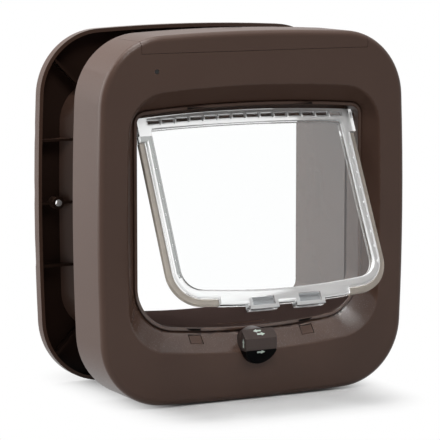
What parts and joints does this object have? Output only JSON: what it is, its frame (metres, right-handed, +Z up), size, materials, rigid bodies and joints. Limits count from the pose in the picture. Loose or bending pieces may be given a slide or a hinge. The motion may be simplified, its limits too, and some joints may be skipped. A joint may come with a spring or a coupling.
{
  "type": "cat flap",
  "caption": "Cat flap with a bowed room-side housing, clear top-hinged flap, rotary lock knob, motor latch and telescoping outside frame.",
  "frame": {"origin": "midway between the two fixing bosses, in the plane where the room-side housing seats on the door", "axes": "+X to the right seen from the room, +Y out through the door, +Z up"},
  "size_m": [0.24, 0.1622, 0.258],
  "materials": {
    "brown_abs": "moulded ABS, satin with a fine texture",
    "knob_abs": "moulded ABS, satin",
    "black_abs": "moulded ABS, satin",
    "black_acetal": "moulded acetal, smooth",
    "white_acetal": "moulded acetal, smooth",
    "clear_polycarbonate": "clear moulded polycarbonate, polished",
    "seal_elastomer": "soft translucent elastomer",
    "magnet_ferrite": "plated bar magnet",
    "screw_steel": "zinc plated steel",
    "motor_steel": "nickel plated steel can",
    "contact_steel": "nickel plated spring steel",
    "coil_copper": "enamelled copper wire, taped",
    "cell_sleeve": "printed foil sleeve over steel",
    "board_laminate": "glass fibre laminate with green solder mask",
    "light_acrylic": "frosted acrylic",
    "button_abs": "moulded ABS, smooth"
  },
  "bodies": {
    "frame": {"interior_housing": "brown_abs", "interior_back": "brown_abs", "housing_screws": "screw_steel", "sill_magnets": "magnet_ferrite", "latch_motor": "motor_steel", "antenna_coil": "coil_copper", "battery_tray": "black_abs", "battery_cell_1": "cell_sleeve", "battery_cell_2": "cell_sleeve", "battery_cell_3": "cell_sleeve", "battery_cell_4": "cell_sleeve", "battery_contacts": "contact_steel", "circuit_board": "board_laminate", "light_pipe": "light_acrylic"},
    "outside": {"exterior_frame": "brown_abs", "tunnel_sleeve": "brown_abs"},
    "flap": {"flap_pane": "clear_polycarbonate", "flap_seal_left": "seal_elastomer", "flap_seal_right": "seal_elastomer", "flap_magnet_left": "magnet_ferrite", "flap_magnet_right": "magnet_ferrite"},
    "lock": {"lock_knob": "knob_abs", "lock_cam": "black_acetal", "knob_screw": "screw_steel"},
    "latch": {"latch_bar": "brown_abs"},
    "pinion": {"latch_pinion": "white_acetal"},
    "cover": {"battery_cover": "brown_abs"},
    "button": {"learn_button": "button_abs"}
  },
  "joints": [
    {"name": "flap_swing", "type": "hinge", "parent": "frame", "child": "flap", "pos_m": [0, -0.026, 0.0615], "axis": [1, 0, 0], "range_deg": [-53.4, 96.6]},
    {"name": "knob_turn", "type": "hinge", "parent": "frame", "child": "lock", "pos_m": [0, -0.035, -0.0945], "axis": [0, -1, 0], "range_deg": [-90, 180]},
    {"name": "latch_slide", "type": "slide", "parent": "frame", "child": "latch", "axis": [0, 0, 1], "range_m": [0, 0.016]},
    {"name": "pinion_turn", "type": "hinge", "parent": "frame", "child": "pinion", "pos_m": [0.05915, -0.014, -0.109], "axis": [0, 1, 0], "range_deg": [0, 184]},
    {"name": "cover_lift", "type": "slide", "parent": "frame", "child": "cover", "axis": [0, 0, 1], "range_m": [0, 0.03]},
    {"name": "button_press", "type": "slide", "parent": "frame", "child": "button", "axis": [0, 0, -1], "range_m": [0, 0.001], "stiffness_N_per_m": 400},
    {"name": "outside_slide", "type": "slide", "parent": "frame", "child": "outside", "axis": [0, 1, 0], "range_m": [-0.005, 0.015]}
  ],
  "couplings": [
    {"joint": "pinion_turn", "follows": "latch_slide", "rad_per_m": 200}
  ]
}
